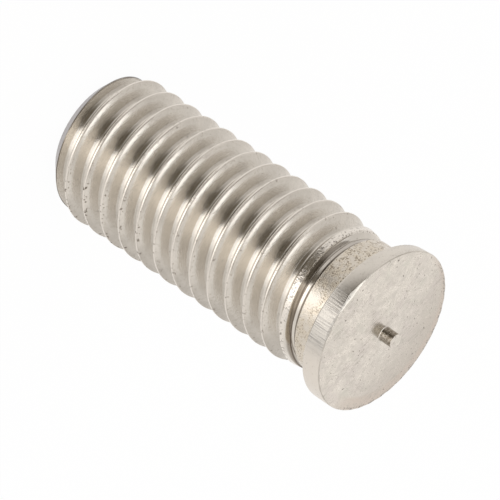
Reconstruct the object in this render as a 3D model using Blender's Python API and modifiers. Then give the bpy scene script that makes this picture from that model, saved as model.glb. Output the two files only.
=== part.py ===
"""An M8 x 20 weld stud for capacitor-discharge welding, in stainless steel.

One piece: the flange and its pointed weld face are headed on the end of a blank, and a
right-hand thread is rolled on the shank below them. The stud stands on the end of its
thread, with its axis on +Z and its origin in the middle of that end.
"""

import math

import bmesh
import bpy
from mathutils import Matrix

# Driving dimensions, in metres
STUD_LENGTH = 0.0200            # thread end to the rim of the weld face
THREAD_DIAMETER = 0.0080        # over the crests
PITCH = 0.00125
CREST_WIDTH = 0.00019           # flat left on top of the ridge
ROOT_ROUNDING = 0.00022         # radius at the bottom of the groove
GROOVE_HEIGHT = 0.00008         # middle of the groove above the thread end, on the +X side
END_DIAMETER = 0.00618          # flat end that the stud stands on, inside its chamfer
END_CHAMFER = 0.00088           # height of the chamfer that leads a nut on
NECK_DIAMETER = 0.00737         # plain shank between the thread and the flange
NECK_LENGTH = 0.00148
NECK_FILLET = 0.0002
CREST_FADE = 0.0015             # last stretch of the thread, where its crests are low
CREST_FADE_STEEP = 0.0005       # the steep first part of that stretch
CREST_DROP = 0.00017            # how far the crests fall in the steep part
RUNOUT_DEPTH = 0.00018          # the last turn of the groove is only this much below the neck
RUNOUT_FLOOR = 0.0003           # height over which its floor is even
FLANGE_DIAMETER = 0.00903
FLANGE_THICKNESS = 0.00107      # at the rim
FLANGE_BACK_ROUNDING = 0.00015
FLANGE_FRONT_ROUNDING = 0.00015
TIP_DIAMETER = 0.00078
TIP_LENGTH = 0.00075            # above the middle of the weld face
TIP_FILLET = 0.00006

# Angles
FLANK_ANGLE = math.radians(30)  # each side of the groove, from a plane across the axis
FACE_ANGLE = math.radians(2.3)  # the weld face is a very flat cone
RUNOUT_ANGLE = math.radians(42)     # slope of the groove's floor where it climbs to the neck
RUNOUT_TILT = math.radians(2)       # the rolling dies ended a little higher on the +X side
FADE_TILT = math.radians(3.5)       # and the crests fade out higher there
CHAMFER_TILT = math.radians(3.3)    # the chamfer isn't square: it runs higher on the +X side
BACK_TILT = math.radians(2)         # nor is the flange's back: the rim is thicker on the +X side
SHARP_ANGLE = math.radians(25)      # edges that turn more than this are shaded sharp

# Fineness of the mesh
STEPS_PER_TURN = 40
ROOT_FACETS = 3
ROUNDING_FACETS = 3
WELD_DISTANCE = 1e-6

# Radii and heights that follow from the driving dimensions
THREAD_RADIUS = THREAD_DIAMETER / 2
NECK_RADIUS = NECK_DIAMETER / 2
FLANGE_RADIUS = FLANGE_DIAMETER / 2
TIP_RADIUS = TIP_DIAMETER / 2
FLANGE_BACK = STUD_LENGTH - FLANGE_THICKNESS
THREAD_TOP = FLANGE_BACK - NECK_LENGTH
FADE_START = THREAD_TOP - CREST_FADE
FADE_END = FADE_START + CREST_FADE_STEEP
FACE_APEX = STUD_LENGTH + FLANGE_RADIUS * math.tan(FACE_ANGLE)

# One step of the mesh round the axis, and what the thread climbs in it
STEP_ANGLE = 2 * math.pi / STEPS_PER_TURN
STEP_CLIMB = PITCH / STEPS_PER_TURN


def remove_scene_objects():
    for scene_object in list(bpy.data.objects):
        bpy.data.objects.remove(scene_object, do_unlink=True)


def add_collection(name):
    collection = bpy.data.collections.new(name)
    bpy.context.scene.collection.children.link(collection)
    return collection


def add_object(name, shape, collection):
    """Put a finished bmesh into a new object and free it."""
    mesh = bpy.data.meshes.new(name)
    shape.to_mesh(mesh)
    shape.free()
    new_object = bpy.data.objects.new(name, mesh)
    collection.objects.link(new_object)
    return new_object


def hide_as_cutter(helper):
    helper.hide_render = True
    helper.display_type = "WIRE"


def stainless_steel():
    material = bpy.data.materials.new("stainless_steel")
    material.use_nodes = True
    shader = material.node_tree.nodes["Principled BSDF"]
    shader.inputs["Base Color"].default_value = (0.56, 0.53, 0.49, 1)
    shader.inputs["Metallic"].default_value = 1
    shader.inputs["Roughness"].default_value = 0.3
    return material


def arc(centre, radius, start, end, facets):
    """Points of an arc, as (distance from the axis, height), between two angles."""
    angles = [start + (end - start) * number / facets for number in range(facets + 1)]
    return [(centre[0] + radius * math.cos(angle), centre[1] + radius * math.sin(angle)) for angle in angles]


def add_outline(shape, points, closed=False):
    """Join points given as (distance from the axis, height) by edges on the +X side."""
    corners = [shape.verts.new((distance, 0, height)) for distance, height in points]
    edges = [shape.edges.new(pair) for pair in zip(corners, corners[1:])]
    if closed:
        edges.append(shape.edges.new((corners[-1], corners[0])))
    return corners, edges


def blank_profile():
    """Half the outline of the headed blank, from the top of its tip down to its thread end."""
    foot = TIP_RADIUS + TIP_FILLET
    foot_height = FACE_APEX - foot * math.tan(FACE_ANGLE) + TIP_FILLET
    points = [(0, FACE_APEX + TIP_LENGTH), (TIP_RADIUS, FACE_APEX + TIP_LENGTH)]
    points += arc((foot, foot_height), TIP_FILLET, math.pi, 1.5 * math.pi, ROUNDING_FACETS)

    front = (FLANGE_RADIUS - FLANGE_FRONT_ROUNDING, STUD_LENGTH - FLANGE_FRONT_ROUNDING)
    points += arc(front, FLANGE_FRONT_ROUNDING, math.pi / 2, 0, ROUNDING_FACETS)
    back = (FLANGE_RADIUS - FLANGE_BACK_ROUNDING, FLANGE_BACK + FLANGE_BACK_ROUNDING)
    points += arc(back, FLANGE_BACK_ROUNDING, 0, -math.pi / 2, ROUNDING_FACETS)
    fillet = (NECK_RADIUS + NECK_FILLET, FLANGE_BACK - NECK_FILLET)
    points += arc(fillet, NECK_FILLET, math.pi / 2, math.pi, ROUNDING_FACETS)

    points.append((NECK_RADIUS, THREAD_TOP))
    points.append((THREAD_RADIUS - CREST_DROP, FADE_END))
    points.append((THREAD_RADIUS, FADE_START))
    points.append((THREAD_RADIUS, 0))
    points.append((0, 0))
    return points


def lean(mesh, lowest, highest, tilt):
    """Shear the rings of a turned mesh between two heights, so that their +X side is higher."""
    for vertex in mesh.vertices:
        if lowest - WELD_DISTANCE < vertex.co.z < highest + WELD_DISTANCE:
            vertex.co.z += vertex.co.x * math.tan(tilt)


def turned_blank(collection):
    """The headed blank before its thread is rolled: the profile, turned about the axis."""
    shape = bmesh.new()
    corners, _ = add_outline(shape, blank_profile())
    # Half a step round from the groove's sections, so that their edges don't meet in the cut
    bmesh.ops.rotate(shape, verts=corners, matrix=Matrix.Rotation(STEP_ANGLE / 2, 3, "Z"))
    blank = add_object("blank", shape, collection)
    hide_as_cutter(blank)
    turn = blank.modifiers.new("turned", "SCREW")
    turn.steps = STEPS_PER_TURN
    turn.render_steps = STEPS_PER_TURN
    turn.use_merge_vertices = True
    turn.merge_threshold = WELD_DISTANCE
    turned = blank.evaluated_get(bpy.context.evaluated_depsgraph_get())
    mesh = bpy.data.meshes.new_from_object(turned)
    blank.modifiers.clear()
    blank.data = mesh
    lean(mesh, FADE_START, FADE_END, FADE_TILT)
    lean(mesh, THREAD_TOP, THREAD_TOP, RUNOUT_TILT)
    lean(mesh, FLANGE_BACK - NECK_FILLET, FLANGE_BACK + FLANGE_BACK_ROUNDING, -BACK_TILT)
    return blank


def turned_cutter(name, points, closed, tilt, tilt_height, collection):
    """A solid turned from an outline and tilted, so that its +X side is the higher one."""
    shape = bmesh.new()
    corners, edges = add_outline(shape, points, closed)
    # A quarter step round, clear of the edges of both the blank and the groove
    bmesh.ops.rotate(shape, verts=corners, matrix=Matrix.Rotation(STEP_ANGLE / 4, 3, "Z"))
    bmesh.ops.spin(
        shape, geom=corners + edges, cent=(0, 0, 0), axis=(0, 0, 1),
        angle=2 * math.pi, steps=STEPS_PER_TURN, use_merge=True,
    )
    bmesh.ops.remove_doubles(shape, verts=shape.verts[:], dist=WELD_DISTANCE)
    tilting = Matrix.Rotation(-tilt, 3, "Y")
    bmesh.ops.rotate(shape, verts=shape.verts[:], cent=(0, 0, tilt_height), matrix=tilting)
    bmesh.ops.recalc_face_normals(shape, faces=shape.faces[:])
    cutter = add_object(name, shape, collection)
    hide_as_cutter(cutter)
    return cutter


def groove_opening():
    """Half the groove's width at the crest, and the radius at which its sides would meet."""
    opening = (PITCH - CREST_WIDTH) / 2
    return opening, THREAD_RADIUS - opening / math.tan(FLANK_ANGLE)


def groove_section():
    """The groove across its run: a V with a round root, a little wider than at the crest.

    Points are (distance from the axis, height from the groove's middle).
    """
    spare = CREST_WIDTH / 2
    opening, apex = groove_opening()
    root_centre = apex + ROOT_ROUNDING / math.sin(FLANK_ANGLE)
    outer = THREAD_RADIUS + spare
    outer_opening = opening + spare * math.tan(FLANK_ANGLE)
    root_start = math.pi / 2 + FLANK_ANGLE
    points = [(outer, outer_opening)]
    points += arc((root_centre, 0), ROOT_ROUNDING, root_start, 2 * math.pi - root_start, ROOT_FACETS)
    points.append((outer, -outer_opening))
    return points


def rolled_groove(collection):
    """The helical groove as a solid, from below the thread end to above its run-out."""
    start = GROOVE_HEIGHT - PITCH
    steps = math.ceil((THREAD_TOP + PITCH - start) / STEP_CLIMB)
    shape = bmesh.new()
    points = [(distance, height + start) for distance, height in groove_section()]
    corners, edges = add_outline(shape, points, closed=True)
    bmesh.ops.spin(
        shape, geom=corners + edges, cent=(0, 0, 0), axis=(0, 0, 1),
        angle=steps * STEP_ANGLE, steps=steps, dvec=(0, 0, STEP_CLIMB),
    )
    bmesh.ops.holes_fill(shape, edges=[edge for edge in shape.edges if edge.is_boundary], sides=0)
    bmesh.ops.recalc_face_normals(shape, faces=shape.faces[:])
    groove = add_object("groove", shape, collection)
    hide_as_cutter(groove)
    return groove


def die_end(collection):
    """Where the rolling dies' bevelled ends keep the groove shallow, and then end it.

    A bell that stands inside the shank: the groove only reaches down to its outside.
    """
    _, apex = groove_opening()
    floor_radius = NECK_RADIUS - RUNOUT_DEPTH
    floor_top = THREAD_TOP - RUNOUT_DEPTH / math.tan(RUNOUT_ANGLE)
    floor_bottom = floor_top - RUNOUT_FLOOR
    foot = floor_bottom - (floor_radius - apex) / math.tan(RUNOUT_ANGLE)
    mouth_radius = THREAD_RADIUS + 2 * PITCH
    mouth = THREAD_TOP + (mouth_radius - NECK_RADIUS) / math.tan(RUNOUT_ANGLE)
    points = [
        (0, mouth), (mouth_radius, mouth), (floor_radius, floor_top), (floor_radius, floor_bottom), (apex, foot),
        (0, foot),
    ]
    return turned_cutter("die_end", points, False, RUNOUT_TILT, THREAD_TOP, collection)


def chamfer_ring(collection):
    """What the chamfer takes off round the thread end: a ring with a conical inside."""
    end_radius = END_DIAMETER / 2
    bevel = THREAD_RADIUS - end_radius
    outside = THREAD_RADIUS + bevel
    points = [(end_radius - bevel, -END_CHAMFER), (outside, -END_CHAMFER), (outside, 2 * END_CHAMFER)]
    return turned_cutter("chamfer_ring", points, True, CHAMFER_TILT, 0, collection)


def subtract(shape, cutter):
    cut = shape.modifiers.new(cutter.name, "BOOLEAN")
    cut.operation = "DIFFERENCE"
    cut.solver = "EXACT"
    cut.object = cutter


def finished_stud(blank, cutters, collection):
    """Cut the blank and keep the result as the stud's own mesh."""
    for cutter in cutters:
        subtract(blank, cutter)
    finished = blank.evaluated_get(bpy.context.evaluated_depsgraph_get())
    mesh = bpy.data.meshes.new_from_object(finished)
    mesh.name = "weld_stud"
    mesh.shade_smooth()
    mesh.set_sharp_from_angle(angle=SHARP_ANGLE)
    mesh.materials.clear()
    mesh.materials.append(stainless_steel())
    stud = bpy.data.objects.new("weld_stud", mesh)
    collection.objects.link(stud)
    return stud


remove_scene_objects()
stud_collection = add_collection("weld_stud")
helpers = add_collection("cutters")
thread_groove = rolled_groove(helpers)
subtract(thread_groove, die_end(helpers))
finished_stud(turned_blank(helpers), [thread_groove, chamfer_ring(helpers)], stud_collection)
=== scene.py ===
import math

import bmesh
import bpy
from mathutils import Matrix, Vector


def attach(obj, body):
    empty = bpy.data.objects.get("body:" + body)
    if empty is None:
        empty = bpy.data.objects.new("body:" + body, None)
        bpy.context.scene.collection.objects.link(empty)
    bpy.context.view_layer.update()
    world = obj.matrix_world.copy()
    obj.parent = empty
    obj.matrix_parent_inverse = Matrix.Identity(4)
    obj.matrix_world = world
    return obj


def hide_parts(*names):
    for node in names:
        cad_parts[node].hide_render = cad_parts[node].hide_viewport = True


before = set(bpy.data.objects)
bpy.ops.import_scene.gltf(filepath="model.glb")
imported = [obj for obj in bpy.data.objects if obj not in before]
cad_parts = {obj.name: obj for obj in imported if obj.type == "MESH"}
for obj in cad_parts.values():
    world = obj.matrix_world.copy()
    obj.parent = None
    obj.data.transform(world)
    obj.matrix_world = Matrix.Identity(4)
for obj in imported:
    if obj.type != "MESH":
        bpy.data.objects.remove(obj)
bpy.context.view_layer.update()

# The wire: a length of stainless steel wire, headed cold. A punch spreads its end into the
# flange, presses the weld face into a very flat cone and leaves the ignition tip standing in
# its middle, while the dies that hold the shank set the width of the neck.
MM = 0.001
NEAR = 0.001 * MM
STUD_LENGTH = 20.0 * MM
THREAD_RADIUS = 4.0 * MM
THREAD_TOP = 17.45 * MM
NECK_RADIUS = 3.685 * MM
NECK_FILLET = 0.2 * MM
FLANGE_RADIUS = 4.5 * MM
FLANGE_BACK = 18.93 * MM
BACK_ROUNDING = 0.15 * MM
FRONT_BEVEL = 0.09 * MM
FRONT_ROUNDING = 0.03 * MM
FACE_ANGLE = 2.3
TIP_RADIUS = 0.39 * MM
TIP_LENGTH = 0.75 * MM
TIP_FILLET = 0.06 * MM
TIP_OFFSET = 0.05 * MM
FADE_START = 15.95 * MM
FADE_END = 16.45 * MM
CREST_DROP = 0.17 * MM
STEPS = 144
STEP = 2 * math.pi / STEPS


def slope(angle):
    return math.tan(math.radians(angle))


def arc(centre, radius, start, end, facets):
    """Points along an arc between two angles in degrees."""
    points = []
    for number in range(facets + 1):
        angle = math.radians(start + (end - start) * number / facets)
        points.append((centre[0] + radius * math.cos(angle), centre[1] + radius * math.sin(angle)))
    return points


def turned(outline, closed=False, start=0.0, climb=0.0, turns=1):
    """Spin an outline of (radius, height) points round the stud's axis, or up it in a helix."""
    shape = bmesh.new()
    corners = [shape.verts.new((radius, 0, height)) for radius, height in outline]
    edges = [shape.edges.new(pair) for pair in zip(corners, corners[1:])]
    if closed:
        edges.append(shape.edges.new((corners[-1], corners[0])))
    bmesh.ops.rotate(shape, verts=corners, matrix=Matrix.Rotation(start, 3, "Z"))
    bmesh.ops.spin(
        shape, geom=corners + edges, cent=(0, 0, 0), axis=(0, 0, 1), angle=2 * math.pi, steps=STEPS,
        dvec=(0, 0, climb / STEPS), use_merge=(climb == 0),
    )
    first_turn = shape.verts[:] + shape.edges[:] + shape.faces[:]
    for number in range(1, turns):
        copied = bmesh.ops.duplicate(shape, geom=first_turn)["geom"]
        next_turn = [part for part in copied if isinstance(part, bmesh.types.BMVert)]
        bmesh.ops.translate(shape, verts=next_turn, vec=(0, 0, number * climb))
    bmesh.ops.remove_doubles(shape, verts=shape.verts[:], dist=NEAR / 2)
    bmesh.ops.holes_fill(shape, edges=[edge for edge in shape.edges if edge.is_boundary], sides=0)
    bmesh.ops.recalc_face_normals(shape, faces=shape.faces[:])
    return shape


def as_object(name, shape):
    mesh = bpy.data.meshes.new(name)
    shape.to_mesh(mesh)
    shape.free()
    made = bpy.data.objects.new(name, mesh)
    bpy.context.scene.collection.objects.link(made)
    return made


face_slope = slope(FACE_ANGLE)
face_apex = STUD_LENGTH + FLANGE_RADIUS * face_slope
tip_foot = TIP_RADIUS + TIP_FILLET
tip_corner = (tip_foot, face_apex - tip_foot * face_slope + TIP_FILLET)
setback = FRONT_ROUNDING * slope(22.5)
face_corner = (FLANGE_RADIUS - FRONT_BEVEL - setback, STUD_LENGTH - FRONT_ROUNDING)
rim_corner = (FLANGE_RADIUS - FRONT_ROUNDING, STUD_LENGTH - FRONT_BEVEL - setback)
back_corner = (FLANGE_RADIUS - BACK_ROUNDING, FLANGE_BACK + BACK_ROUNDING)
neck_corner = (NECK_RADIUS + NECK_FILLET, FLANGE_BACK - NECK_FILLET)
wire_outline = [(0, face_apex + TIP_LENGTH), (TIP_RADIUS, face_apex + TIP_LENGTH)]
wire_outline += arc(tip_corner, TIP_FILLET, 180, 270, 4)
wire_outline += arc(face_corner, FRONT_ROUNDING, 90, 47, 3)
wire_outline += arc(rim_corner, FRONT_ROUNDING, 43, 0, 3)
wire_outline += arc(back_corner, BACK_ROUNDING, 0, -90, 6)
wire_outline += arc(neck_corner, NECK_FILLET, 90, 180, 6)
wire_outline += [
    (NECK_RADIUS, THREAD_TOP),
    (THREAD_RADIUS - CREST_DROP, FADE_END),
    (THREAD_RADIUS, FADE_START),
    (THREAD_RADIUS, 0),
    (0, 0),
]
wire = turned(wire_outline, start=STEP / 2)

# The dies stood a little out of line with the wire, so the crests and the neck end higher on the
# +X side. The flange came out thicker there, and its back edge is softer on the other side.
CREST_LEAN = 3.5
NECK_LEAN = 2
FLANGE_LEAN = -2
SOFT_REACH = 0.3 * MM
SOFTNESS = 0.35


def lean(shape, lowest, highest, tilt):
    """Shear the rings between two heights out of square. Their +X side goes up."""
    for corner in shape.verts:
        if lowest - NEAR < corner.co.z < highest + NEAR:
            corner.co.z += corner.co.x * slope(tilt)


lean(wire, FADE_START, FADE_END, CREST_LEAN)
lean(wire, THREAD_TOP, THREAD_TOP, NECK_LEAN)
for corner in wire.verts:
    spot = corner.co
    if spot.x < 0 and FLANGE_BACK - NEAR < spot.z < FLANGE_BACK + BACK_ROUNDING + NEAR:
        share = (spot.x / FLANGE_RADIUS) ** 2 * math.hypot(spot.x, spot.y) / FLANGE_RADIUS
        spot.x += share * (FLANGE_BACK + SOFT_REACH - spot.z) * SOFTNESS
        spot.z += share * (FLANGE_BACK + SOFT_REACH - spot.z) * SOFTNESS
lean(wire, FLANGE_BACK - NECK_FILLET, FLANGE_BACK + 2 * BACK_ROUNDING, FLANGE_LEAN)

# The punch left the front edge uneven: nearly sharp, but with a bevel on the -Y side. The bevel's
# width changes with the bearing in degrees from -Y, in two broad swells and a small ripple.
EDGE_DEPTH = 0.11 * MM
for corner in wire.verts:
    spot = corner.co
    reach = math.hypot(spot.x, spot.y)
    if reach > FLANGE_RADIUS - EDGE_DEPTH and spot.z > STUD_LENGTH - EDGE_DEPTH:
        turn = math.degrees(math.atan2(spot.x, -spot.y))
        width = 0.5 + 1.3 * math.exp(-((turn + 7) / 9) ** 2) + 0.9 * math.exp(-((turn - 17) / 10) ** 4)
        width += 0.1 * math.sin(turn * 0.7) + 0.08 * math.sin(turn * 1.9)
        drop = (FLANGE_RADIUS - reach) * (width - 1)
        spot.x -= spot.x / reach * drop
        spot.y -= spot.y / reach * drop
        spot.z -= (STUD_LENGTH - spot.z) * (width - 1)

# The tip stands a little off the middle of the face, towards +X.
for corner in wire.verts:
    spot = corner.co
    if spot.z > face_apex - 0.1 * MM and math.hypot(spot.x, spot.y) < 2 * TIP_RADIUS:
        spot.x += TIP_OFFSET
stud = as_object("stud", wire)

# The thread: rolled between flat dies, so the steel is pushed out of the groove and up into the
# crests. It is M8 with a pitch of 1.25 mm, right-handed, and its bottom is round.
PITCH = 1.25 * MM
GROOVE_HEIGHT = 0.08 * MM
ROOT_RADIUS = 3.28 * MM
ROOT_ROUNDING = 0.3 * MM
CREST_ROUNDING = 0.035 * MM
FLANK_ANGLE = 64
HOLLOW = [(ROOT_ROUNDING, 234, 12), (1.2 * MM, 240, 3), (3.0 * MM, 242, 2)]
HOLLOW_ANGLE = 62
SHOULDER = 0.62 * MM
SHOULDER_ANGLE = 50
SHOULDER_BEND = 1.4 * MM


def smooth_bends(centre, start, bends):
    """Arcs that run on into each other. Each bend is a radius, its last angle and its facets."""
    points = []
    for number, (radius, end, facets) in enumerate(bends):
        points += arc(centre, radius, start, end, facets)[min(number, 1):]
        if number + 1 < len(bends):
            change = radius - bends[number + 1][0]
            along = math.radians(end)
            centre = (centre[0] + change * math.cos(along), centre[1] + change * math.sin(along))
            start = end
    return points


# Seen in section, the groove's lower side is hollow and steepens towards a shoulder below the
# crest, which is where the dies let the last of the steel flow. The two meet in a soft bend.
root_centre = (ROOT_RADIUS + ROOT_ROUNDING, 0)
lower_side = smooth_bends(root_centre, 180, HOLLOW)
hollow_radius, hollow_height = lower_side[-1]
steep = slope(HOLLOW_ANGLE)
shallow = slope(SHOULDER_ANGLE)
gap = THREAD_RADIUS - hollow_radius - SHOULDER * shallow - hollow_height * steep
foot_height = -gap / (steep - shallow)
foot_radius = hollow_radius - (foot_height - hollow_height) * steep
middle = math.radians((HOLLOW_ANGLE + SHOULDER_ANGLE) / 2)
reach = SHOULDER_BEND / math.cos(math.radians((HOLLOW_ANGLE - SHOULDER_ANGLE) / 2))
bend_centre = (foot_radius - reach * math.cos(middle), foot_height - reach * math.sin(middle))
lower_side += arc(bend_centre, SHOULDER_BEND, HOLLOW_ANGLE, SHOULDER_ANGLE, 4)
lower_crest = -SHOULDER - CREST_ROUNDING * slope(SHOULDER_ANGLE / 2)
lower_side += arc((THREAD_RADIUS - CREST_ROUNDING, lower_crest), CREST_ROUNDING, SHOULDER_ANGLE, 8, 4)
lower_side.append((THREAD_RADIUS + CREST_ROUNDING, lower_side[-1][1]))

# The upper side is straight from the round bottom to the rounded edge of the crest above.
upper_side = arc(root_centre, ROOT_ROUNDING, 180 - FLANK_ANGLE, 180, 10)[:-1]
flank_radius, flank_height = upper_side[0]
opening = flank_height + (THREAD_RADIUS - flank_radius) / slope(FLANK_ANGLE)
upper_crest = opening + CREST_ROUNDING * slope(FLANK_ANGLE / 2)
crest_edge = arc((THREAD_RADIUS - CREST_ROUNDING, upper_crest), CREST_ROUNDING, -12, -FLANK_ANGLE, 4)
crest_edge.insert(0, (THREAD_RADIUS + CREST_ROUNDING, crest_edge[0][1]))

groove_start = GROOVE_HEIGHT - PITCH
groove_section = crest_edge + upper_side + lower_side
groove_outline = [(radius, height + groove_start) for radius, height in groove_section]
groove_turns = math.ceil((THREAD_TOP + PITCH - groove_start) / PITCH)
groove = as_object("groove", turned(groove_outline, closed=True, climb=PITCH, turns=groove_turns))

# The run-out: the dies end in a bevel, which leaves the last groove shallow and presses a narrow
# floor beside the neck. They stood two degrees out of line with the wire.
RUNOUT_DEPTH = 0.18 * MM
RUNOUT_FLOOR = 0.22 * MM
RUNOUT_ANGLE = 42
RUNOUT_TILT = math.radians(-2)
runout_slope = slope(RUNOUT_ANGLE)
floor_radius = NECK_RADIUS - RUNOUT_DEPTH
floor_top = THREAD_TOP - RUNOUT_DEPTH / runout_slope
floor_bottom = floor_top - RUNOUT_FLOOR
groove_floor = ROOT_RADIUS - 0.1 * MM
bevel_foot = floor_bottom - (floor_radius - groove_floor) / runout_slope
mouth_radius = THREAD_RADIUS + 2 * PITCH
mouth = THREAD_TOP + (mouth_radius - NECK_RADIUS) / runout_slope
die_outline = [
    (0, mouth),
    (mouth_radius, mouth),
    (floor_radius, floor_top),
    (floor_radius, floor_bottom),
    (groove_floor, bevel_foot),
    (0, bevel_foot),
]
die_shape = turned(die_outline, start=STEP / 4)
die_turn = Matrix.Rotation(RUNOUT_TILT, 3, "Y")
bmesh.ops.rotate(die_shape, verts=die_shape.verts[:], cent=(0, 0, THREAD_TOP), matrix=die_turn)
die_end = as_object("die_end", die_shape)

# The thread's start: the wire was bevelled before rolling, a little out of square, so the first
# turns stand lower on one side.
END_RADIUS = 3.09 * MM
END_BEVEL = 0.88 * MM
END_TILT = math.radians(-3.3)
bevel_width = THREAD_RADIUS - END_RADIUS
ring_outline = [
    (END_RADIUS - bevel_width, -END_BEVEL),
    (THREAD_RADIUS + bevel_width, -END_BEVEL),
    (THREAD_RADIUS + bevel_width, 2 * END_BEVEL),
]
ring_shape = turned(ring_outline, closed=True, start=STEP / 4)
bmesh.ops.rotate(ring_shape, verts=ring_shape.verts[:], matrix=Matrix.Rotation(END_TILT, 3, "Y"))
end_bevel = as_object("end_bevel", ring_shape)


def subtract(piece, cutter):
    cut = piece.modifiers.new(cutter.name, "BOOLEAN")
    cut.operation = "DIFFERENCE"
    cut.solver = "EXACT"
    cut.object = cutter


subtract(groove, die_end)
subtract(stud, groove)
subtract(stud, end_bevel)
cut_stud = stud.evaluated_get(bpy.context.evaluated_depsgraph_get())
stud_mesh = bpy.data.meshes.new_from_object(cut_stud)
stud.modifiers.clear()
stud.data = stud_mesh
for cutter in (groove, die_end, end_bevel):
    bpy.data.objects.remove(cutter, do_unlink=True)

stud_mesh.shade_smooth()
stud_mesh.set_sharp_from_angle(angle=math.radians(28))

# The steel, as rolling and heading leave it: bright in the groove, seamed on the crests, pitted
# and straw-stained on the neck, drawn in fine lines on the flange's rim, and cloudy with
# scratches and specks on the pressed face. The tip is rough on its side and flat at its end.


class Tone:
    """A socket of a shader. Python's arithmetic on it adds Math nodes."""

    def __init__(self, tree, socket=None):
        self.tree = tree
        self.socket = socket

    def node(self, kind, settings, inputs, output=0):
        made = self.tree.nodes.new("ShaderNode" + kind)
        for name, setting in settings.items():
            setattr(made, name, setting)
        for name, value in inputs.items():
            if isinstance(value, Tone):
                self.tree.links.new(value.socket, made.inputs[name])
            elif made.inputs[name].type == "RGBA":
                made.inputs[name].default_value = (*value, 1)
            else:
                made.inputs[name].default_value = value
        return Tone(self.tree, made.outputs[output]) if made.outputs else None

    def math(self, operation, *values):
        return self.node("Math", {"operation": operation}, dict(enumerate(values)))

    def __add__(self, other):
        return self.math("ADD", self, other)

    def __radd__(self, other):
        return self.math("ADD", other, self)

    def __sub__(self, other):
        return self.math("SUBTRACT", self, other)

    def __rsub__(self, other):
        return self.math("SUBTRACT", other, self)

    def __mul__(self, other):
        return self.math("MULTIPLY", self, other)

    def __rmul__(self, other):
        return self.math("MULTIPLY", other, self)

    def __truediv__(self, other):
        return self.math("DIVIDE", self, other)

    def parts(self):
        """The three numbers of a vector."""
        split = self.node("SeparateXYZ", {}, {"Vector": self}).socket.node
        return [Tone(self.tree, part) for part in split.outputs]

    def rise(self, low, high):
        """0 before low, 1 after high, and a smooth step between. High may be the smaller one."""
        limits = {"Value": self, "From Min": low, "From Max": high, "To Min": 0.0, "To Max": 1.0}
        if low > high:
            limits.update({"From Min": high, "From Max": low, "To Min": 1.0, "To Max": 0.0})
        return self.node("MapRange", {"interpolation_type": "SMOOTHSTEP"}, limits)

    def band(self, low, high, blur):
        """1 between low and high, with soft sides."""
        return self.rise(low - blur, low + blur) * self.rise(high + blur, high - blur)

    def blend(self, colour, other):
        """From one colour to the other by this value."""
        return self.node("Mix", {"data_type": "RGBA"}, {0: self, 6: colour, 7: other}, output=2)


steel = bpy.data.materials.new("cold_worked_stainless")
steel.use_nodes = True
steel.node_tree.nodes.clear()
paint = Tone(steel.node_tree)

# Places on the stud: turn_place runs from 0 in the groove's bottom to 1 in the next turn's and
# follows the helix, and die_height is the height along the tilted dies.
place = paint.node("TexCoord", {}, {}, output="Object")
x, y, z = place.parts()
radius = x.math("SQRT", x * x + y * y)
bearing = y.math("ARCTAN2", y, x) / (2 * math.pi)
turn_height = z - bearing * PITCH
turn_place = turn_height.math("FLOORED_MODULO", (turn_height - GROOVE_HEIGHT) / PITCH, 1.0)
die_height = z - x * math.tan(-RUNOUT_TILT)


def grain(size, detail=3.0, roughness=0.55, at=place):
    """A cloudy pattern whose patches are about this many metres across."""
    inputs = {"Vector": at, "Scale": 1 / size, "Detail": detail, "Roughness": roughness}
    return paint.node("TexNoise", {}, inputs)


def vector(first, second, third):
    return paint.node("CombineXYZ", {}, {0: first, 1: second, 2: third})


# Grains: some follow the rolling, the drawing of the rim or the scratches across the face.
rolled = grain(0.06 * MM, 2.0, at=vector(radius, turn_height, bearing * 0.9 * MM))
drawn = grain(0.07 * MM, 3.0, at=vector(x, y, z * 0.04))
scratched = grain(0.06 * MM, 3.0, at=vector(x * 0.35 + y * 0.936, (y * 0.35 - x * 0.936) * 0.1, z))
cloud = grain(1.1 * MM, 4.0, 0.6)
patch = grain(0.45 * MM, 4.0, 0.7)
fine = grain(0.12 * MM, 4.0, 0.65)
sand = grain(0.055 * MM, 2.0, 0.6)
speck = grain(0.17 * MM, 2.0, 0.5)
lumps = grain(0.12 * MM, 1.5)

# The parts of the surface. The land is the dented crest that fades out above the thread.
SOFT = 0.03 * MM
RUNOUT_START = 16.6 * MM
threaded = z.rise(FADE_END, FADE_START)
crest = turn_place.band(0.42, 0.53, 0.02) * threaded
flank = turn_place.band(0.62, 0.82, 0.05) * threaded
hollow_side = 1 - turn_place.band(0.42, 0.58, 0.03)
land = z.band(FADE_END - 0.1 * MM, FADE_END + 0.42 * MM, 0.1 * MM)
land = land * radius.rise(3.66 * MM, 3.72 * MM)
runout = die_height.band(RUNOUT_START, THREAD_TOP, SOFT) * radius.rise(3.74 * MM, 3.70 * MM)
neck = die_height.rise(THREAD_TOP - 0.02 * MM, THREAD_TOP + 0.03 * MM)
neck = neck * z.rise(FLANGE_BACK, FLANGE_BACK - 0.1 * MM)
rim = z.band(FLANGE_BACK, STUD_LENGTH - 0.05 * MM, 0.05 * MM) * radius.rise(4.3 * MM, 4.4 * MM)
face = z.rise(STUD_LENGTH - 0.03 * MM, STUD_LENGTH + 0.01 * MM)
tip = z.rise(face_apex + 0.01 * MM, face_apex + 0.05 * MM)

# Colour of the bare steel and of the dull patches in the thread.
STEEL = (0.635, 0.60, 0.543)
DULL_STEEL = (0.42, 0.385, 0.335)
mottle = cloud.rise(0.3, 0.7)
dark_steel = tuple(0.94 * part for part in STEEL)
light_steel = tuple(1.05 * part for part in STEEL)
base = mottle.blend(dark_steel, light_steel)
base = (threaded * fine.rise(0.50, 0.68) * 0.35).blend(base, DULL_STEEL)

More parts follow.
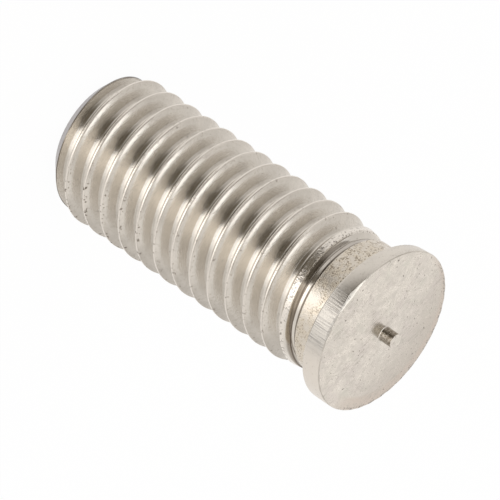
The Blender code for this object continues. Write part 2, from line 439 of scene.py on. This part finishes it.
# The crests: pale, with a dark seam, and a broken dark line along their edges that is a painted
# reflection of the rounded edge. Both lines are strongest about the middle of X, and most of the small
# pits lie on the +X side.
CREST_STEEL = (0.80, 0.755, 0.69)
SEAM_COLOUR = (0.14, 0.11, 0.09)
EDGE_REFLECTION_COLOUR = (0.16, 0.13, 0.10)
CREST_PIT_COLOUR = (0.14, 0.11, 0.08)
middle_stretch = x.band(-2.6 * MM, 1.7 * MM, 0.5 * MM)
seam = turn_place.band(0.516, 0.534, 0.008) * threaded
seam = seam * rolled.rise(0.42, 0.50) * (0.35 + middle_stretch * 0.65)
# Painted reflection: the dark line along the crest edges stands in for a reflection in their rounding,
# and is also sunk a little in the relief.
edge_dent_and_reflection = turn_place.band(0.416, 0.436, 0.006) * threaded
edge_dent_and_reflection = edge_dent_and_reflection * rolled.rise(0.42, 0.52) * (0.4 + middle_stretch * 0.6)
worn = x.rise(1 * MM, 2.5 * MM) * (0.3 + 0.7 * z.rise(9 * MM, 6 * MM))
worn = worn + 0.3 * cloud.rise(0.5, 0.56)
crest_pits = turn_place.band(0.41, 0.58, 0.02) * threaded * speck.rise(0.59, 0.65) * worn
base = (crest * 0.45).blend(base, CREST_STEEL)
base = (seam * 0.6).blend(base, SEAM_COLOUR)
base = (edge_dent_and_reflection * 0.8).blend(base, EDGE_REFLECTION_COLOUR)
base = (crest_pits * 0.8).blend(base, CREST_PIT_COLOUR)

# The land: pale and bright, with dark dents.
LAND_STEEL = (0.74, 0.70, 0.64)
LAND_PIT_COLOUR = (0.15, 0.13, 0.11)
land_pits = land * lumps.rise(0.57, 0.64)
base = (land * 0.9).blend(base, LAND_STEEL)
base = (land_pits * 0.65).blend(base, LAND_PIT_COLOUR)

# The run-out: below its floor it is paler towards -X and bronze towards +X. The floor and the slope
# above it are grey towards -X, and three dark lines of painted shade, sunk a little, follow their
# edges.
BRONZE = (0.30, 0.25, 0.20)
PALE_RUNOUT = (0.80, 0.78, 0.75)
GREY_STRIP = (0.33, 0.30, 0.27)
CREASE_SHADE_COLOUR = (0.13, 0.10, 0.08)
CREASE_BLUR = 0.015 * MM
bronze = runout * die_height.band(RUNOUT_START, 17.05 * MM, SOFT) * x.rise(-1 * MM, 0.5 * MM)
pale_band = runout * die_height.band(RUNOUT_START, 17.02 * MM, SOFT)
pale_band = pale_band * x.band(-2.6 * MM, 0.2 * MM, 0.6 * MM)
# Painted shade: three dark lines along the edges of the floor and the slope, where the surfaces meet.
crease_and_shade = die_height.band(17.24 * MM, 17.29 * MM, CREASE_BLUR)
crease_and_shade = crease_and_shade + die_height.band(17.39 * MM, 17.45 * MM, CREASE_BLUR)
crease_and_shade = crease_and_shade + die_height.band(17.02 * MM, 17.06 * MM, CREASE_BLUR)
crease_and_shade = crease_and_shade * rolled.rise(0.35, 0.45)
strip = runout * die_height.band(17.0 * MM, 17.5 * MM, SOFT) * x.rise(0.5 * MM, -2.0 * MM)
base = (bronze * 0.6).blend(base, BRONZE)
base = (pale_band * 0.8).blend(base, PALE_RUNOUT)
base = (strip * 0.6).blend(base, GREY_STRIP)
base = (crease_and_shade * 0.8).blend(base, CREASE_SHADE_COLOUR)

# The neck: stained straw in patches and pitted, but for one clear stretch past its middle.
STRAW = (0.59, 0.51, 0.385)
NECK_PIT_COLOUR = (0.16, 0.12, 0.08)
clear = x.band(0.1 * MM, 0.9 * MM, 0.3 * MM) * z.rise(18.4 * MM, 18.0 * MM)
straw = neck * (0.4 + 0.6 * patch.rise(0.40, 0.58)) * (1 - clear * 0.8)
pitted = patch.rise(0.44, 0.52) * (0.7 + 0.3 * x.rise(1.0 * MM, -0.5 * MM)) * (1 - clear)
neck_pits = neck * grain(0.09 * MM, 1.0, 0.5).rise(0.54, 0.61) * pitted
base = (straw * 0.55).blend(base, STRAW)
base = (neck_pits * 0.65).blend(base, NECK_PIT_COLOUR)

# The rim: a grey, finely drawn stretch in the middle, small stains, and paler towards +X.
GROUND_STEEL = (0.43, 0.42, 0.395)
DRAWN_LINES = (0.25, 0.24, 0.23)
RIM_STAIN = (0.33, 0.30, 0.26)
PALE_RIM = (0.74, 0.69, 0.62)
ground = rim * x.rise(-1.2 * MM, -0.3 * MM) * x.rise(3.2 * MM, 2.2 * MM)
base = (ground * 0.5).blend(base, GROUND_STEEL)
base = (ground * drawn.rise(0.48, 0.66) * 0.6).blend(base, DRAWN_LINES)
base = (rim * fine.rise(0.55, 0.68) * 0.35).blend(base, RIM_STAIN)
base = (rim * x.rise(2.0 * MM, 3.4 * MM) * 0.6).blend(base, PALE_RIM)

# The weld face: pale, with pink and green clouds, painted shade that darkens and browns its far side
# and far edge, then grey haze, scratches, grime and specks. Nicks sit on the far edge.
PALE_FACE = (0.83, 0.78, 0.705)
PINK = (0.64, 0.585, 0.55)
GREEN = (0.60, 0.595, 0.52)
FAR_FACE_SHADE = (0.46, 0.415, 0.36)
FAR_EDGE_SHADE = (0.57, 0.48, 0.41)
HAZE = (0.50, 0.475, 0.42)
GRIME = (0.33, 0.31, 0.27)
SPECK_COLOUR = (0.13, 0.11, 0.09)
NICK_COLOUR = (0.13, 0.12, 0.11)
pale = face * patch.rise(0.35, 0.65)
pink = face * cloud.rise(0.45, 0.65)
green = face * grain(0.8 * MM, 3.0).rise(0.5, 0.7)
# Painted shade: the face darker and browner towards +Y, and along its rounded edge on that side.
far_face_shade = face * y.rise(-0.5 * MM, 4.5 * MM)
far_edge_shade = face * y.rise(-0.5 * MM, 1.5 * MM) * (radius + x * 0.07).rise(3.85 * MM, 4.1 * MM)
haze = face * grain(0.3 * MM, 4.0, 0.7).rise(0.42, 0.68) * cloud.rise(0.3, 0.6)
scratches = face * scratched.rise(0.50, 0.72) * cloud.rise(0.45, 0.60)
grime = face * sand.rise(0.52, 0.66) * patch.rise(0.42, 0.60)
specks = speck.rise(0.68, 0.73) * (face * 0.6 + 0.4)
nicks = radius.rise(4.28 * MM, 4.36 * MM) * z.rise(19.5 * MM, 19.8 * MM) * y.rise(0.3 * MM, 1.3 * MM)
nicks = nicks * fine.rise(0.52, 0.58) * 0.8
base = (pale * 0.8).blend(base, PALE_FACE)
base = (pink * 0.5).blend(base, PINK)
base = (green * 0.4).blend(base, GREEN)
base = (far_face_shade * 0.75).blend(base, FAR_FACE_SHADE)
base = (far_edge_shade * 0.5).blend(base, FAR_EDGE_SHADE)
base = (haze * 0.5).blend(base, HAZE)
base = (scratches * 0.5).blend(base, GRIME)
base = (grime * 0.75).blend(base, GRIME)
base = (specks * 0.8).blend(base, SPECK_COLOUR)
base = (nicks * 0.8).blend(base, NICK_COLOUR)

# The chamfer of the thread end, painted bluish grey as a dark reflection, with a dark line inside it,
# and the tip's side, brown and blotched. The chamfer is measured from its own tilted cone.
CHAMFER_REFLECTION_GREY = (0.36, 0.36, 0.385)
INNER_LINE_COLOUR = (0.14, 0.12, 0.10)
TIP_BROWN = (0.30, 0.265, 0.215)
cone = radius - (z - x * math.tan(-END_TILT)) * (bevel_width / END_BEVEL)
chamfer = cone.band(END_RADIUS - 0.03 * MM, END_RADIUS + 0.03 * MM, 0.02 * MM)
chamfer = chamfer * z.rise(1.3 * MM, 1.2 * MM)
inner_line = cone.band(END_RADIUS - 0.10 * MM, END_RADIUS - 0.03 * MM, 0.01 * MM)
inner_line = inner_line * z.rise(1.4 * MM, 1.3 * MM) * rolled.rise(0.42, 0.52)
tip_top = face_apex + TIP_LENGTH
tip_side = tip * z.rise(tip_top - 0.01 * MM, tip_top - 0.03 * MM)
# Painted reflection: the chamfer's bluish grey stands in for the darker surroundings it mirrors at a
# grazing angle.
base = (chamfer * (0.6 + 0.3 * rolled)).blend(base, CHAMFER_REFLECTION_GREY)
base = (inner_line * 0.8).blend(base, INNER_LINE_COLOUR)
base = (tip_side * (0.3 + 0.7 * fine.rise(0.4, 0.6))).blend(base, TIP_BROWN)

# The finish: smoothest on the crests and the side of the tip, duller in the groove and on the
# neck and rim, dullest on the chamfer.
roughness = 0.12 + 0.03 * mottle + hollow_side * threaded * 0.09
roughness = roughness + neck * 0.13 + rim * 0.20 + face * 0.07 + land * 0.08
roughness = roughness + seam * 0.2 - tip_side * 0.1 + chamfer * 0.3

# The relief: rolled grain on the crests, dents in the land, drawn lines on the rim, and pits,
# seams, the run-out's shaded creases and nicks sunk below the surface.
RELIEF_STRENGTH = 0.35
RELIEF_DEPTH = 0.02 * MM
height = fine * 0.1 + threaded * sand * 0.35 + crest * (rolled * 2.0 + sand * 1.2)
height = height + land * lumps * 2.8 - land_pits * 0.7
height = height + flank * sand * 2.2 + chamfer * rolled * 3
height = height + neck * (fine * 0.8 + sand * 1.2) - neck_pits * 1.2 + ground * drawn * 2.4
height = height + face * (cloud * 0.6 + fine * 0.4 + scratched * 0.5)
height = height - specks * 0.6 - nicks - crest_pits
height = height - seam * 0.8 - edge_dent_and_reflection * 0.5 - crease_and_shade * 0.8 + tip_side * fine * 5
relief = {"Strength": RELIEF_STRENGTH, "Distance": RELIEF_DEPTH, "Height": height}
bump = paint.node("Bump", {}, relief)
surface = {"Base Color": base, "Metallic": 1.0, "Roughness": roughness, "Normal": bump}
paint.node("OutputMaterial", {}, {"Surface": paint.node("BsdfPrincipled", {}, surface)})
stud_mesh.materials.clear()
stud_mesh.materials.append(steel)
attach(stud, "root")
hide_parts("weld_stud")

# The camera: the stud is seen from above its flange, turned in the frame so that its thread end
# lies at the upper left and its flange at the lower right.
TARGET = Vector((0.361, 0.007, 11.111)) * MM
DISTANCE = 400 * MM
ELEVATION = math.radians(30.7)
ROLL = math.radians(34.2)
SENSOR_WIDTH = 36
FOCAL_LENGTH = 578.88
CLIP_START = 0.01
away = Vector((0, -math.cos(ELEVATION), math.sin(ELEVATION)))
level = Vector((0, math.sin(ELEVATION), math.cos(ELEVATION)))
side = Vector((1, 0, 0))
right = level * math.cos(ROLL) - side * math.sin(ROLL)
up = -level * math.sin(ROLL) - side * math.cos(ROLL)
camera_turn = Matrix((right, up, away)).transposed().to_4x4()
camera_data = bpy.data.cameras.new("camera")
camera_data.sensor_width = SENSOR_WIDTH
camera_data.lens = FOCAL_LENGTH
camera_data.clip_start = CLIP_START
camera = bpy.data.objects.new("camera", camera_data)
bpy.context.scene.collection.objects.link(camera)
camera.matrix_world = Matrix.Translation(TARGET + away * DISTANCE) @ camera_turn
bpy.context.scene.camera = camera
bpy.context.scene.view_settings.view_transform = "Standard"

# The table: a wide white sheet that the stud stands on. It is seen mostly in its own even white,
# so that only a trace of the stud's shadow is left. The steel doesn't mirror the table itself.
TABLE_RADIUS = 6.0
OWN_WHITE = 0.97
floor_shape = bmesh.new()
bmesh.ops.create_circle(floor_shape, cap_ends=True, segments=64, radius=TABLE_RADIUS)
table = as_object("table", floor_shape)
white = bpy.data.materials.new("white_table")
white.use_nodes = True
white.node_tree.nodes.clear()
sheet = Tone(white.node_tree)
light_path = sheet.node("LightPath", {}, {}).socket.node
camera_ray, glossy_ray, transmission_ray = [
    Tone(white.node_tree, light_path.outputs[name])
    for name in ("Is Camera Ray", "Is Glossy Ray", "Is Transmission Ray")
]
seen = camera_ray + glossy_ray + transmission_ray
paper = sheet.node("BsdfDiffuse", {}, {"Color": (0.9, 0.9, 0.9)})
glow = sheet.node("Emission", {}, {"Color": (1.0, 1.0, 1.0), "Strength": 1.0})
mixed = sheet.node("MixShader", {}, {0: seen * OWN_WHITE, 1: paper, 2: glow})
sheet.node("OutputMaterial", {}, {"Surface": mixed})
table.data.materials.append(white)
table.visible_glossy = False

# The room: even white, and its lower half stands for the table in the steel's reflections. A
# dark card stands on the -X side of the camera and a warm softbox on the +X side, both reaching
# below the horizon. A light hangs overhead, and the walls are a little greyer.
world = bpy.data.worlds.new("studio")
world.use_nodes = True
world.node_tree.nodes.clear()
bpy.context.scene.world = world
air = Tone(world.node_tree)
way_x, way_y, way_z = air.node("TexCoord", {}, {}, output="Generated").parts()

# Directions in degrees: azimuth from the camera's side towards +X, and height above the horizon.
azimuth = way_x.math("ARCTAN2", way_x, 0 - way_y) * (180 / math.pi)
height_angle = way_z.math("ARCSINE", way_z) * (180 / math.pi)
card_foot = height_angle + azimuth * 0.42
card = azimuth.rise(-68, -38) * azimuth.rise(4, -1)
card = card * card_foot.rise(-46, -37) * height_angle.rise(51, 43)
softbox = azimuth.rise(2, 6) * azimuth.rise(54, 26) * height_angle.band(-66, 60, 5)
softbox_glare = height_angle.rise(8, -25)
high_light = azimuth.band(-86, 2, 8) * height_angle.band(48, 76, 3)
side_light = azimuth.band(-6, 42, 6) * height_angle.band(46, 57, 4)
overhead = high_light.math("MAXIMUM", high_light, side_light)
walls = height_angle.rise(-8, 10) * azimuth.band(-160, 25, 15)
left_wall = azimuth.band(-118, -55, 12) * height_angle.band(-14, 38, 6)
low_walls = left_wall + azimuth.band(45, 130, 12) * height_angle.band(2, 38, 6)
high_wall = azimuth.band(45, 78, 8) * height_angle.band(42, 70, 5)
right_wall = azimuth.band(128, 158, 10) * height_angle.band(0, 50, 8)

ROOM_WHITE = (1.05, 1.02, 1.0)
WALL_GREY = (0.5, 0.47, 0.44)
SIDE_GREY = (0.45, 0.42, 0.39)
RIGHT_GREY = (0.45, 0.43, 0.41)
OVERHEAD_LIGHT = (1.78, 1.77, 1.77)
SOFTBOX_TOP = (1.6, 1.56, 1.53)
SOFTBOX_FOOT = (2.1, 2.03, 1.98)
CARD_BLACK = (0.07, 0.05, 0.02)
room = (walls * 0.28).blend(ROOM_WHITE, WALL_GREY)
room = (low_walls * 0.45).blend(room, SIDE_GREY)
room = (high_wall * 0.45).blend(room, SIDE_GREY)
room = (right_wall * 0.5).blend(room, RIGHT_GREY)
room = overhead.blend(room, OVERHEAD_LIGHT)
room = softbox.blend(room, softbox_glare.blend(SOFTBOX_TOP, SOFTBOX_FOOT))
room = (card * 0.9).blend(room, CARD_BLACK)
backdrop = air.node("Background", {}, {"Color": room, "Strength": 1.0})
air.node("OutputWorld", {}, {"Surface": backdrop})
